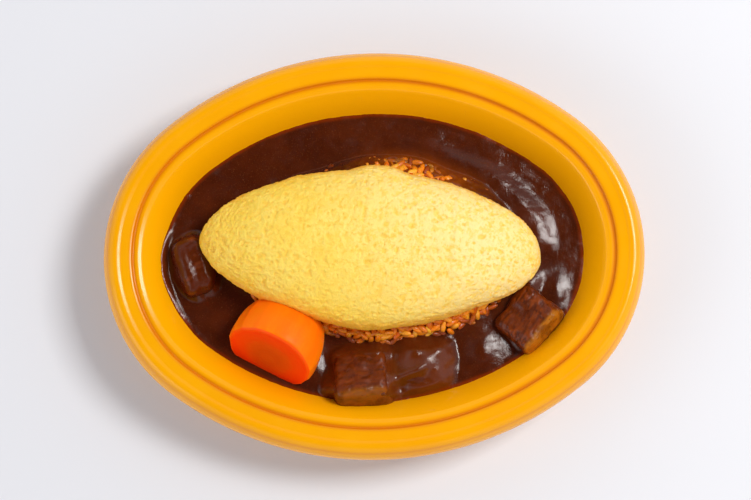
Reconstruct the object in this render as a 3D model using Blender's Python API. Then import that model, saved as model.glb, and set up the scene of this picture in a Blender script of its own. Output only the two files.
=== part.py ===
"""Omurice in its oval dish: omelette on a heap of rice, with beef, carrot and brown sauce.

Metres, +Z up. The origin is on the table under the middle of the dish, +X runs along the
dish's length and -Y is the side with the carrot.
"""

import math

import bmesh
import bpy
from mathutils import Matrix, Vector

GAP = 0.0004  # clearance between pieces that touch
DISH_FACETS = 12  # points to a quarter of every ring of the dish

# Dish: an oval of four arcs. Rings run parallel to it, at an inset from its outer edge.
DISH_LENGTH = 0.260
DISH_WIDTH = 0.1968
DISH_END_RADIUS = 0.082
FOOT_OUTER, FOOT_INNER, FOOT_RECESS = 0.0490, 0.0545, 0.0026
LIP_HEIGHT, LEDGE_HEIGHT, RIM_HEIGHT = 0.0315, 0.0380, 0.0428
BAND_INSET, BAND_HEIGHT = 0.0138, 0.0416
GROOVE_INSET, GROOVE_HEIGHT = 0.0151, 0.0400
SHOULDER_INSET, SHOULDER_HEIGHT = 0.0176, 0.0400
FLOOR_HEIGHT = 0.0090

# Sauce
SAUCE_LEVEL = 0.0250

# Rice heap
HEAP_CENTRE = (0.003, 0.003)
HEAP_LENGTH, HEAP_WIDTH = 0.140, 0.092
HEAP_SPRING, HEAP_TOP = 0.0220, 0.0452  # where the dome starts, and its crown
HEAP_ROUND, HEAP_CURVE = 2.4, 0.73  # exponents of the dome
HEAP_UNEVEN = ((5, 0.014, 0.6), (8, 0.011, 2.1), (13, 0.008, 4.0))  # waves, share, phase

# Omelette: a pointed oval of unequal quarters, draped over the heap
OMELETTE_LENGTH = 0.1654
OMELETTE_BACK, OMELETTE_FRONT = 0.0388, 0.0384  # half widths
OMELETTE_CENTRE, OMELETTE_TURN = (-0.0021, 0.0013), -5.03
OMELETTE_EDGE_TIP, OMELETTE_EDGE_MIDDLE = 0.0335, 0.0370  # height of the edge
OMELETTE_CROWN = 0.0270  # crown above the edge
OMELETTE_DRAPE = 0.0280  # lowest height of the underside
FOLD_DEPTH, FOLD_WIDTH, FOLD_RISE = 0.0028, 0.0110, 0.0012  # fold at the back edge
FOLD_PLACE = 0.0022
QUARTERS = {"back_left": (2.0, 0.63, 0.58), "back_right": (2.1, 0.53, 0.46),
            "front_left": (1.75, 0.65, 0.60), "front_right": (1.75, 0.79, 0.62)}
TIP_STARTS, TIP_ENDS = 0.55, 0.95  # where the last number of a quarter takes over: a blunter tip

# Carrot: a thick tapered slice, lying on its side with its wide cut face up to the front
CARROT_FACE = (-0.0514, -0.0490, 0.0356)
CARROT_RADIUS, CARROT_BACK_RADIUS, CARROT_LENGTH = 0.0217, 0.0185, 0.0256
CARROT_HEADING, CARROT_LIFT = 242.0, 27.8
CARROT_EDGE, CARROT_BELLY = 0.0022, 0.0018

# Beef: name, centre, size, turn about Z, tilts about X and Y
BEEF = (
    ("beef_left", (-0.0872, -0.0030, 0.0238), (0.0198, 0.0310, 0.0210), 14, 4, 14),
    ("beef_front", (-0.0072, -0.0600, 0.0250), (0.0280, 0.0272, 0.0210), 2, -28, -3),
    ("beef_front_small", (0.0222, -0.0540, 0.0228), (0.0236, 0.0226, 0.0170), -8, 3, 6),
    ("beef_right", (0.0742, -0.0330, 0.0240), (0.0284, 0.0240, 0.0215), 47, -17, -6),
)


# ---------------------------------------------------------------- helpers

def clear_scene():
    for obj in list(bpy.data.objects):
        bpy.data.objects.remove(obj, do_unlink=True)


def new_collection(name, hidden=False):
    collection = bpy.data.collections.new(name)
    bpy.context.scene.collection.children.link(collection)
    collection.hide_render = hidden
    return collection


def material(name, colour, roughness):
    mat = bpy.data.materials.new(name)
    mat.use_nodes = True
    shader = mat.node_tree.nodes["Principled BSDF"]
    shader.inputs["Base Color"].default_value = (*colour, 1.0)
    shader.inputs["Roughness"].default_value = roughness
    return mat


def add_object(name, bm, collection, mat=None):
    bmesh.ops.recalc_face_normals(bm, faces=bm.faces)
    mesh = bpy.data.meshes.new(name)
    bm.to_mesh(mesh)
    bm.free()
    obj = bpy.data.objects.new(name, mesh)
    collection.objects.link(obj)
    if mat:
        mesh.materials.append(mat)
    else:
        obj.hide_render = True
        obj.display_type = "WIRE"
    return obj


def loft(rings):
    """A closed body through rings of equal count. A ring of one point closes an end as a tip."""
    bm = bmesh.new()
    rows = [[bm.verts.new(point) for point in ring] for ring in rings]
    for low, high in zip(rows, rows[1:]):
        count = max(len(low), len(high))
        for i in range(count):
            j = (i + 1) % count
            if len(low) == 1:
                bm.faces.new((low[0], high[j], high[i]))
            elif len(high) == 1:
                bm.faces.new((low[i], low[j], high[0]))
            else:
                bm.faces.new((low[i], low[j], high[j], high[i]))
    for row in (rows[0], rows[-1]):
        if len(row) > 2:
            bm.faces.new(row)
    return bm


def boolean(obj, cutter, operation="DIFFERENCE"):
    modifier = obj.modifiers.new(operation.title() + " " + cutter.name, "BOOLEAN")
    modifier.operation = operation
    modifier.solver = "EXACT"
    modifier.object = cutter


# ---------------------------------------------------------------- dish

def oval_ring(inset, height):
    """One ring of the four-arc oval, parallel to the outer edge."""
    a, b, r1 = DISH_LENGTH / 2, DISH_WIDTH / 2, DISH_END_RADIUS
    r2 = (b * b + (a - r1) ** 2 - r1 * r1) / (2 * (b - r1))
    meet = math.atan2(r2 - b, a - r1)
    end, side = r1 * meet, r2 * (math.pi / 2 - meet)
    end_steps = round(DISH_FACETS * end / (end + side))
    side_steps = DISH_FACETS - end_steps
    normals = [meet * i / end_steps for i in range(end_steps)]
    normals += [meet + (math.pi / 2 - meet) * i / side_steps for i in range(side_steps + 1)]
    quarter = []
    for i, normal in enumerate(normals):
        on_end = i < end_steps
        radius = (r1 if on_end else r2) - inset
        quarter.append(((a - r1 if on_end else 0) + radius * math.cos(normal),
                        (0 if on_end else b - r2) + radius * math.sin(normal)))
    half = quarter + [(-x, y) for x, y in reversed(quarter[:-1])]
    ring = half + [(x, -y) for x, y in reversed(half[1:-1])]
    return [Vector((x, y, height)) for x, y in ring]


def inside_profile():
    """The dish's inner wall below its shoulder: (inset, height) down to the floor."""
    return [(0.0195, 0.0391), (0.0235, 0.0335), (0.0284, 0.0250), (0.0315, 0.0185),
            (0.0352, 0.0130), (0.0410, 0.0100), (0.0520, FLOOR_HEIGHT)]


def dish_profile():
    """(inset, height) from under the floor, round the rim, to the floor."""
    foot = [(FOOT_INNER + 0.0016, FOOT_RECESS), (FOOT_INNER, 0), (FOOT_OUTER + 0.0006, 0),
            (FOOT_OUTER, 0.0005), (0.0460, 0.0036)]
    outer = [(0.0380, 0.0058), (0.0300, 0.0108), (0.0245, 0.0170), (0.0185, 0.0245),
             (0.0110, 0.0285), (0.0050, 0.0290), (0.0016, 0.0290)]
    lip = [(0.0000, LIP_HEIGHT), (0.0002, LIP_HEIGHT + 0.0028), (0.0018, LEDGE_HEIGHT),
           (0.0030, LEDGE_HEIGHT), (0.0034, LEDGE_HEIGHT + 0.0012)]
    band = [(0.0046, RIM_HEIGHT - 0.0010), (0.0066, RIM_HEIGHT), (0.0090, RIM_HEIGHT - 0.0006),
            (BAND_INSET, BAND_HEIGHT), (GROOVE_INSET - 0.0005, GROOVE_HEIGHT + 0.0004)]
    groove = [(GROOVE_INSET, GROOVE_HEIGHT), (GROOVE_INSET + 0.0007, GROOVE_HEIGHT),
              (SHOULDER_INSET - 0.0011, SHOULDER_HEIGHT), (SHOULDER_INSET, SHOULDER_HEIGHT)]
    return foot + outer + lip + band + groove + inside_profile()


def build_dish(parts, mat):
    return add_object("dish", loft([oval_ring(*point) for point in dish_profile()]), parts, mat)


def cavity(gap, top):
    """The dish's inside, held a gap off the wall and floor, up to a height."""
    profile = [(inset + gap * 0.8, height + gap * 0.8) for inset, height in inside_profile()]
    rings = [point for point in reversed(profile) if point[1] < top - 0.001]
    low, high = rings[-1], next(p for p in reversed(profile) if p[1] >= top - 0.001)
    share = (top - low[1]) / (high[1] - low[1])
    rings.append((low[0] + (high[0] - low[0]) * share, top))
    return loft([oval_ring(*point) for point in rings])


def open_cavity(gap):
    """The dish's inside carried straight up past everything in it."""
    profile = [(inset + gap * 0.8, height + gap * 0.8) for inset, height in inside_profile()]
    rings = [oval_ring(*point) for point in reversed(profile)]
    return loft(rings + [oval_ring(profile[0][0], 0.09)])


# ---------------------------------------------------------------- rice

def uneven(angle):
    return 1 + sum(share * math.sin(waves * angle + phase)
                   for waves, share, phase in HEAP_UNEVEN)


def heap_height(x, y):
    """Height of the heap's top over a point, down to where the dome starts."""
    u = (x - HEAP_CENTRE[0]) / (HEAP_LENGTH / 2)
    v = (y - HEAP_CENTRE[1]) / (HEAP_WIDTH / 2)
    out = min(1.0, math.hypot(u, v) / uneven(math.atan2(v, u)))
    return HEAP_SPRING + (HEAP_TOP - HEAP_SPRING) * (1 - out ** HEAP_ROUND) ** HEAP_CURVE


def heap(grow=0.0):
    steps = [(FLOOR_HEIGHT + GAP, 0.86), (0.0120, 0.955), (0.0165, 1.0), (HEAP_SPRING, 1.0)]
    for rise in (0.12, 0.27, 0.43, 0.59, 0.74, 0.86, 0.95):
        share = (1 - rise ** (1 / HEAP_CURVE)) ** (1 / HEAP_ROUND)
        steps.append((HEAP_SPRING + (HEAP_TOP - HEAP_SPRING) * rise, share))
    rings = []
    for height, share in steps:
        ring = []
        for i in range(46):
            angle = math.tau * i / 46
            reach = share * uneven(angle)
            ring.append((HEAP_CENTRE[0] + (HEAP_LENGTH / 2 * reach + grow) * math.cos(angle),
                         HEAP_CENTRE[1] + (HEAP_WIDTH / 2 * reach + grow) * math.sin(angle),
                         height + (grow if height >= HEAP_SPRING else -2 * grow)))
        rings.append(ring)
    rings.append([(*HEAP_CENTRE, HEAP_TOP + grow)])
    return loft(rings)


# ---------------------------------------------------------------- omelette

def fold(u):
    """How far the back edge's fold is out, from 0 to 1, at a length along the omelette."""
    return math.exp(-((u - FOLD_PLACE) / FOLD_WIDTH) ** 4)


def half_width(along, back):
    """Half width of the omelette on one side, at -1 (left tip) to 1 (right tip)."""
    power, curve, blunt = QUARTERS[("back_" if back else "front_") + ("left" if along < 0 else "right")]
    near_tip = min(1.0, max(0.0, (abs(along) - TIP_STARTS) / (TIP_ENDS - TIP_STARTS)))
    curve += (blunt - curve) * near_tip * near_tip * (3 - 2 * near_tip)
    width = (OMELETTE_BACK if back else OMELETTE_FRONT) * (1 - abs(along) ** power) ** curve
    if back:
        width += FOLD_DEPTH * fold(along * OMELETTE_LENGTH / 2)
    return width


def omelette_section(along, points=12):
    """A closed section across the omelette: over the top, then back along the underside."""
    tip = math.sqrt(1 - abs(along) ** 6)
    edge = OMELETTE_EDGE_TIP + (OMELETTE_EDGE_MIDDLE - OMELETTE_EDGE_TIP) * (1 - along ** 2)
    crown = OMELETTE_CROWN * (1 - abs(along) ** 2.6) ** 0.6
    turn = math.radians(OMELETTE_TURN)
    section = []
    for under in (False, True):
        for i in range(points):
            angle = math.pi * i / points
            across = math.cos(angle) * (-1 if under else 1)
            u = along * OMELETTE_LENGTH / 2
            v = across * half_width(along, across > 0)
            x = OMELETTE_CENTRE[0] + u * math.cos(turn) - v * math.sin(turn)
            y = OMELETTE_CENTRE[1] + u * math.sin(turn) + v * math.cos(turn)
            if under:
                low = max(heap_height(x, y) + 0.0008, OMELETTE_DRAPE)
                z = edge - (edge - low) * tip * math.sqrt(1 - across ** 6)
            else:
                lift = FOLD_RISE * fold(u) * max(0.0, across) ** 2
                z = edge + crown * math.sin(angle) ** 0.92 + lift * math.sin(angle)
            section.append((x, y, z))
    return section


def build_omelette(parts, mat):
    stations = 32
    turn = math.radians(OMELETTE_TURN)
    tips = [(OMELETTE_CENTRE[0] + s * OMELETTE_LENGTH / 2 * math.cos(turn),
             OMELETTE_CENTRE[1] + s * OMELETTE_LENGTH / 2 * math.sin(turn),
             OMELETTE_EDGE_TIP) for s in (-1, 1)]
    rings = [[tips[0]]]
    for i in range(1, stations):
        rings.append(omelette_section(-math.cos(math.pi * i / stations)))
    rings.append([tips[1]])
    return add_object("omelette", loft(rings), parts, mat)


# ---------------------------------------------------------------- carrot

def carrot_frame():
    """Carrot axes: local Z runs from the back out through the front cut face."""
    lift, heading = math.radians(CARROT_LIFT), math.radians(CARROT_HEADING)
    axis = Vector((math.cos(lift) * math.cos(heading), math.cos(lift) * math.sin(heading),
                   math.sin(lift)))
    turn = axis.to_track_quat("Z", "Y").to_matrix().to_4x4()
    middle = Vector(CARROT_FACE) - axis * CARROT_LENGTH / 2
    return Matrix.Translation(middle) @ turn


def carrot(grow=0.0):
    half = CARROT_LENGTH / 2 + grow
    front, back, edge = CARROT_RADIUS + grow, CARROT_BACK_RADIUS + grow, CARROT_EDGE
    belly = (front + back) / 2 + CARROT_BELLY
    profile = [(-half, back - edge), (-half + edge * 0.3, back - edge * 0.3),
               (-half + edge, back), (-half * 0.1, belly), (half * 0.5, front + 0.0007),
               (half - edge, front), (half - edge * 0.3, front - edge * 0.3),
               (half, front - edge)]
    rings = []
    for height, radius in profile:
        ring = []
        for i in range(26):
            angle = math.tau * i / 26
            facet = 1 + 0.010 * math.cos(9 * angle) + 0.008 * math.sin(4 * angle + 1)
            ring.append((radius * facet * math.cos(angle), radius * facet * math.sin(angle),
                         height))
        rings.append(ring)
    bm = loft(rings)
    bm.transform(carrot_frame())
    return bm


# ---------------------------------------------------------------- beef

def chunk(index, grow=0.0):
    """A braised cube of beef: rounded, pulled out of square, with ridges along the grain."""
    _, centre, size, turn, tilt_x, tilt_y = BEEF[index]
    bm = bmesh.new()
    bmesh.ops.create_cube(bm, size=2.0)
    bmesh.ops.subdivide_edges(bm, edges=bm.edges[:], cuts=4, use_grid_fill=True)
    for vert in bm.verts:
        p = vert.co
        p /= (abs(p.x) ** 5 + abs(p.y) ** 5 + abs(p.z) ** 5) ** 0.2
        phase = 1.7 * index
        ridge = 0.035 * math.sin(7.0 * p.x + 1.5 * p.y + phase)
        lump = 0.045 * math.sin(2.3 * p.y + 1.9 * p.z + 2 * phase)
        taper = 1 - 0.07 * p.z
        swell = 1 + ridge * abs(p.z) + lump * 0.6
        vert.co = Vector((p.x * taper + 0.06 * p.y * p.z, p.y * taper + 0.05 * p.x,
                          p.z * (1 + 0.05 * math.sin(2 * p.x + phase)))) * swell
    half = [side / 2 + grow for side in size]
    place = (Matrix.Translation(centre) @ Matrix.Rotation(math.radians(turn), 4, "Z")
             @ Matrix.Rotation(math.radians(tilt_x), 4, "X")
             @ Matrix.Rotation(math.radians(tilt_y), 4, "Y") @ Matrix.Diagonal((*half, 1)))
    bm.transform(place)
    return bm


# ---------------------------------------------------------------- assembly

def main():
    clear_scene()
    parts = new_collection("omurice")
    cutters = new_collection("cutters", hidden=True)
    looks = {
        "dish": material("dish_glaze", (0.92, 0.36, 0.01), 0.12),
        "sauce": material("brown_sauce", (0.06, 0.012, 0.004), 0.10),
        "rice": material("tomato_rice", (0.62, 0.20, 0.04), 0.45),
        "omelette": material("egg", (0.95, 0.66, 0.13), 0.40),
        "carrot": material("carrot", (0.90, 0.20, 0.02), 0.35),
        "beef": material("beef", (0.16, 0.05, 0.015), 0.30),
    }

    build_dish(parts, looks["dish"])
    omelette = build_omelette(parts, looks["omelette"])
    sauce = add_object("sauce", cavity(GAP, SAUCE_LEVEL), parts, looks["sauce"])
    rice = add_object("rice", heap(), parts, looks["rice"])
    root = add_object("carrot", carrot(), parts, looks["carrot"])
    inside = add_object("dish_inside", open_cavity(GAP), cutters)
    boolean(root, inside, "INTERSECT")

    boolean(sauce, add_object("round_rice", heap(GAP), cutters))
    near_carrot = add_object("round_carrot", carrot(GAP), cutters)
    for piece in (sauce, rice, omelette):
        boolean(piece, near_carrot)
    for index, entry in enumerate(BEEF):
        beef = add_object(entry[0], chunk(index), parts, looks["beef"])
        boolean(beef, inside, "INTERSECT")
        near_beef = add_object("round_" + entry[0], chunk(index, 1.5 * GAP), cutters)
        for piece in (sauce, rice, omelette):
            boolean(piece, near_beef)


main()
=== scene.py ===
import math

import bmesh
import bpy
import numpy as np
from mathutils import Matrix, Vector
from mathutils.bvhtree import BVHTree
from mathutils.kdtree import KDTree


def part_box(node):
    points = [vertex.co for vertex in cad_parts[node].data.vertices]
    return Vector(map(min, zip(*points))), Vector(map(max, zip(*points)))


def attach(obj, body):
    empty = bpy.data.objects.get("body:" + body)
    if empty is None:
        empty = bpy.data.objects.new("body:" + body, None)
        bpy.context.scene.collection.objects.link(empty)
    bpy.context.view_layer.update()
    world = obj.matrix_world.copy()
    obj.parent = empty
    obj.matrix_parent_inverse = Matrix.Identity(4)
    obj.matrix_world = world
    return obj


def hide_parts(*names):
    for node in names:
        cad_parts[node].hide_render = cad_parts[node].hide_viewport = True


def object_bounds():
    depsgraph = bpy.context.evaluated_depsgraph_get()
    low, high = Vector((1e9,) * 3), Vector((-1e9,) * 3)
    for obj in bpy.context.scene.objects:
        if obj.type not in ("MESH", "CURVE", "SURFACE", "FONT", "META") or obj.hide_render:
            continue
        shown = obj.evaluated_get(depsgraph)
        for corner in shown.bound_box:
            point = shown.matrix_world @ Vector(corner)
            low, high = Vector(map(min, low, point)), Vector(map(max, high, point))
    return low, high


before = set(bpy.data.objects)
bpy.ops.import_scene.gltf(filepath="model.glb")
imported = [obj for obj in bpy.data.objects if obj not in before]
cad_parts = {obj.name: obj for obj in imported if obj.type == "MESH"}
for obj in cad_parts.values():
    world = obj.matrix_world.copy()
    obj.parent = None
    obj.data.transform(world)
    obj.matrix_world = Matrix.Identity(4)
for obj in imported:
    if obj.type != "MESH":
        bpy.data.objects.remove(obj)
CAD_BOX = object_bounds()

MM = 0.001
CLEAR = 0.0001  # how far a piece stays inside its solid


# ======================================== numbers from the frame

CAD_TOP = max(corner[2] for corner in CAD_BOX)
HALF_LENGTH, HALF_WIDTH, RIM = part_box("dish")[1]
SAUCE_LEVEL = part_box("sauce")[1][2]
SAUCE_FOOTING = SAUCE_LEVEL - 0.001  # films on the beef end this low
END_RADIUS = 0.082  # of the arcs at the dish's ends

# Heap and omelette follow the same rules as their solids
HEAP_CENTRE = (0.003, 0.003)
HEAP_LENGTH, HEAP_WIDTH = 0.140, 0.092
HEAP_SPRING, HEAP_TOP = 0.0220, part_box("rice")[1][2]
HEAP_ROUND, HEAP_CURVE = 2.4, 0.73
# waves round the heap, their share of its radius and their phase
HEAP_UNEVEN = ((5, 0.014, 0.6), (8, 0.011, 2.1), (13, 0.008, 4.0))

OMELETTE_LENGTH = 0.1650
OMELETTE_BACK, OMELETTE_FRONT = 0.0386, 0.0382
OMELETTE_CENTRE, OMELETTE_TURN = (-0.0021, 0.0013), math.radians(-5.03)
EDGE_TIP, EDGE_MIDDLE, CROWN, DRAPE = 0.0335, 0.0370, 0.0268, 0.0272
FOLD_DEPTH, FOLD_WIDTH, FOLD_RISE, FOLD_PLACE = 0.0028, 0.0110, 0.0012, 0.0022
# (at the back, at the left): power, curve, and the curve near the tip, of a quarter of the outline
QUARTERS = {(True, True): (2.0, 0.63, 0.58), (True, False): (2.1, 0.53, 0.46),
            (False, True): (1.75, 0.65, 0.60), (False, False): (1.75, 0.79, 0.62)}
# place along the omelette, bow, width and depth of each crease, in mm
CREASES = ((37, 0.0045, 1.6, 0.32), (31, 0.006, 1.1, 0.14), (-2, -0.004, 1.5, 0.16),
           (52, 0.006, 1.3, 0.16), (18, 0.003, 1.3, 0.10), (-38, -0.005, 1.6, 0.12))

CARROT_FACE = (-0.0514, -0.0490, 0.0356)
CARROT_RADIUS, CARROT_BACK_RADIUS, CARROT_LENGTH = 0.0217, 0.0185, 0.0256
CARROT_HEADING, CARROT_LIFT, CARROT_EDGE, CARROT_BELLY = 242.0, 27.8, 0.0022, 0.0018
CARROT_FLATS, CARROT_CROWN = 11, 0.0003

# name, centre, size, turn and the tilts about X and Y in degrees
BEEF = (
    ("beef_left", (-0.0872, -0.0030, 0.0238), (0.0198, 0.0310, 0.0210), 14, 4, 14),
    ("beef_front", (-0.0072, -0.0600, 0.0250), (0.0280, 0.0272, 0.0210), 2, -28, -3),
    ("beef_front_small", (0.0222, -0.0540, 0.0228), (0.0236, 0.0226, 0.0170), -8, 3, 6),
    ("beef_right", (0.0742, -0.0330, 0.0240), (0.0284, 0.0240, 0.0215), 47, -17, -6),
)
BEEF_SQUARE = {"beef_left": 3.4, "beef_front": 5.5, "beef_front_small": 3.6, "beef_right": 6.0}
# how far sauce coats each piece, how deep its fibres are in mm, and how much paler its cut side is
BEEF_SKIN = {"beef_left": (0.90, 0.16, 0.35), "beef_front": (0.25, 0.11, 0.35),
             "beef_front_small": (0.85, 0.20, 0.35), "beef_right": (0.30, 0.50, 0.9)}
# thickness of the sauce film on each piece (below 0 only its foot is covered), and the film's slope
BEEF_FILM = {"beef_left": (-0.0034, 1.3), "beef_front": (-0.0026, 1.3),
             "beef_front_small": (0.0015, 1.00), "beef_right": (-0.0075, 1.6)}

SAUCE_EDGE, INTO_WALL = 0.0284, 0.0003  # inset at which the sauce meets the wall, and their overlap
SAUCE_REACH = (0.101, 0.069)  # half length and half width of its outline
SAUCE_INNER = 0.80  # its skin ends at this share of the heap's outline, out of sight
SAUCE_BOTTOM = 0.0100
# place, spread and rise of the swells round the beef
MOUNDS = (((0.0505, -0.0465), (0.0070, 0.0088), 0.0025), ((0.0760, -0.0175), (0.0060, 0.0062), 0.0016),
          ((0.0874, -0.0200), (0.0052, 0.0100), 0.0020), ((-0.0310, -0.0535), (0.0058, 0.0090), 0.0021))
FOLD_PATH = ((0.0030, -0.0690), (0.0062, -0.0627), (0.0112, -0.0587), (0.0206, -0.0560))

GRAIN_TRIES, GRAIN_GAP = 30000, 0.0026
GRAIN_AROUND, GRAIN_ALONG = 9, 8


# ======================================== noise on arrays

def smooth_noise(points, seed):
    """Value noise from -1 to 1 at each point of an (n, 3) array."""
    whole = np.floor(points).astype(np.int64)
    f = points - whole
    f = f * f * f * (f * (f * 6 - 15) + 10)

    def corner(dx, dy, dz):  # whole-number hash of a grid corner
        n = ((whole[:, 0] + dx) * 73856093) ^ ((whole[:, 1] + dy) * 19349663) \
            ^ ((whole[:, 2] + dz) * 83492791) ^ (seed * 2654435761 % 2147483647)
        n = (n ^ (n >> 13)) * 1274126177
        n = (n ^ (n >> 16)) * 668265263
        return ((n ^ (n >> 15)) & 0xFFFFF) / 524287.5 - 1

    x, y, z = f.T
    low = (corner(0, 0, 0) * (1 - x) + corner(1, 0, 0) * x) * (1 - y) \
        + (corner(0, 1, 0) * (1 - x) + corner(1, 1, 0) * x) * y
    high = (corner(0, 0, 1) * (1 - x) + corner(1, 0, 1) * x) * (1 - y) \
        + (corner(0, 1, 1) * (1 - x) + corner(1, 1, 1) * x) * y
    return low * (1 - z) + high * z


def fbm(points, octaves, seed):
    """Octaves of smooth_noise, each twice as fine and half as strong as the one before."""
    total, weight, norm = 0, 1.0, 0
    for i in range(octaves):
        total = total + weight * smooth_noise(points * 2 ** i + 17.3 * i, seed + i)
        norm += weight
        weight *= 0.5
    return total / norm


def smoothstep(low, high, x):
    t = np.clip((x - low) / (high - low), 0, 1)
    return t * t * (3 - 2 * t)


def smooth_max(a, b, k):
    """The higher of two arrays, with a rounded join k wide."""
    h = np.clip(0.5 + 0.5 * (a - b) / k, 0, 1)
    return b * (1 - h) + a * h + k * h * (1 - h)


# ======================================== mesh helpers

def grid_faces(rows, cols, flip=False):
    """Quads between rings of points that each close on themselves."""
    i = np.arange(rows - 1)[:, None]
    j = np.arange(cols)[None, :]
    k = (j + 1) % cols
    faces = np.stack([i * cols + j, i * cols + k, (i + 1) * cols + k, (i + 1) * cols + j], -1)
    faces = faces.reshape(-1, 4)
    return faces[:, ::-1] if flip else faces


def fan(tip, start, cols, flip=False):
    """Triangles from a tip to a ring."""
    j = np.arange(cols)
    faces = np.stack([np.full(cols, tip), start + (j + 1) % cols, start + j], -1)
    return faces[:, ::-1] if flip else faces


def closed_faces(rows, cols, flip=False):
    """Faces of stacked rings that two tips close. The tips follow the rings in the points."""
    return [grid_faces(rows, cols, flip), fan(rows * cols, 0, cols, flip),
            fan(rows * cols + 1, (rows - 1) * cols, cols, not flip)]


def at_height(xy, z):
    return np.column_stack([xy, np.full(len(xy), z)])


def set_attribute(obj, key, values):
    layer = obj.data.attributes.new(key, "FLOAT", "POINT")
    layer.data.foreach_set("value", np.ascontiguousarray(values, np.float32))


def mesh_object(name, verts, face_lists, mat, attributes=None):
    mesh = bpy.data.meshes.new(name)
    mesh.from_pydata(np.asarray(verts, float).tolist(), [],
                     [f for part in face_lists for f in part.tolist()])
    bm = bmesh.new()
    bm.from_mesh(mesh)
    bmesh.ops.recalc_face_normals(bm, faces=bm.faces)
    bm.to_mesh(mesh)
    bm.free()
    mesh.shade_smooth()
    mesh.materials.append(mat)
    obj = bpy.data.objects.new(name, mesh)
    bpy.context.scene.collection.objects.link(obj)
    for key, values in (attributes or {}).items():
        set_attribute(obj, key, values)
    return obj


def points_and_normals(obj):
    found = []
    for what in ("co", "normal"):
        flat = np.empty(len(obj.data.vertices) * 3, np.float32)
        obj.data.vertices.foreach_get(what, flat)
        found.append(flat.reshape(-1, 3).astype(float))
    return found


def move_points(obj, points):
    obj.data.vertices.foreach_set("co", np.ascontiguousarray(points, np.float32).ravel())
    obj.data.update()


def keep(piece, node):
    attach(piece, "root")
    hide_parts(node)


# ======================================== materials

class Look:
    """A node tree written top down: each call adds a node and returns its output."""

    def __init__(self, name):
        self.mat = bpy.data.materials.new(name)
        self.mat.use_nodes = True
        self.tree = self.mat.node_tree
        self.shader = self.tree.nodes["Principled BSDF"]

    def node(self, kind, **values):
        node = self.tree.nodes.new("ShaderNode" + kind)
        for key, value in values.items():
            setattr(node, key, value)
        return node

    def link(self, out, socket):
        self.tree.links.new(out, socket)

    def put(self, socket, value):
        if isinstance(value, bpy.types.NodeSocket):
            self.link(value, socket)
        elif isinstance(value, (tuple, list)) and len(value) == 3 and socket.type == "RGBA":
            socket.default_value = (*value, 1)
        else:
            socket.default_value = value

    def attribute(self, name):
        return self.node("Attribute", attribute_name=name).outputs["Fac"]

    def coordinates(self, scale=(1, 1, 1), turn=(0, 0, 0)):
        mapping = self.node("Mapping")
        self.link(self.node("TexCoord").outputs["Object"], mapping.inputs["Vector"])
        mapping.inputs["Scale"].default_value = scale
        mapping.inputs["Rotation"].default_value = turn
        return mapping.outputs["Vector"]

    def noise(self, scale, detail, rough, where=None):
        node = self.node("TexNoise")
        self.put(node.inputs["Vector"], where or self.coordinates())
        for key, value in (("Scale", scale), ("Detail", detail), ("Roughness", rough)):
            node.inputs[key].default_value = value
        return node.outputs["Fac"]

    def ramp(self, value, stops):
        node = self.node("ValToRGB")
        self.link(value, node.inputs["Fac"])
        ramp = node.color_ramp
        for i, (place, colour) in enumerate(stops):
            stop = ramp.elements[i] if i < 2 else ramp.elements.new(place)
            stop.position = place
            stop.color = (*colour, 1)
        return node.outputs["Color"]

    def shape(self, value, low, high, to_low=0.0, to_high=1.0):
        node = self.node("MapRange", interpolation_type="SMOOTHSTEP")
        self.put(node.inputs["Value"], value)
        for key, number in (("From Min", low), ("From Max", high), ("To Min", to_low),
                            ("To Max", to_high)):
            node.inputs[key].default_value = number
        return node.outputs["Result"]

    def mix(self, share, a, b, blend="MIX"):
        node = self.node("Mix", data_type="RGBA", blend_type=blend)
        self.put(node.inputs[0], share)
        self.put(node.inputs[6], a)
        self.put(node.inputs[7], b)
        return node.outputs[2]

    def math(self, operation, a, b):
        node = self.node("Math", operation=operation)
        self.put(node.inputs[0], a)
        self.put(node.inputs[1], b)
        return node.outputs[0]

    def bump(self, height, strength, distance):
        node = self.node("Bump")
        node.inputs["Strength"].default_value = strength
        node.inputs["Distance"].default_value = distance
        self.link(height, node.inputs["Height"])
        return node.outputs["Normal"]

    def finish(self, **values):
        for key, value in values.items():
            self.put(self.shader.inputs[key.replace("_", " ")], value)
        return self.mat


def glaze_look():
    yellow, duller, inside, pooled_and_shaded = ((0.87, 0.372, 0.0008), (0.85, 0.350, 0.0007),
                                      (0.97, 0.42, 0.0008), (0.64, 0.155, 0.0004))
    look = Look("dish_glaze")
    base = look.mix(look.shape(look.noise(28, 3, 0.55), 0.35, 0.7), yellow, duller)
    # painted light: the inner wall is a lighter yellow, standing in for light bounced round the dish
    base = look.mix(look.attribute("inner"), base, inside)
    # glaze that pools, and painted shade, darken the groove and the ledge
    base = look.mix(look.attribute("pool_and_shade"), base, pooled_and_shaded)
    turned = look.noise(1, 4, 0.6, look.coordinates((260, 260, 1500)))
    fine = look.noise(900, 2, 0.5)
    relief = look.math("ADD", look.math("MULTIPLY", turned, 0.5), look.math("MULTIPLY", fine, 0.5))
    rough = look.shape(look.noise(70, 4, 0.6), 0.3, 0.75, 0.17, 0.27)
    return look.finish(Base_Color=base, Roughness=rough, Normal=look.bump(relief, 0.12, 0.0002),
                       Specular_IOR_Level=0.27)


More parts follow.
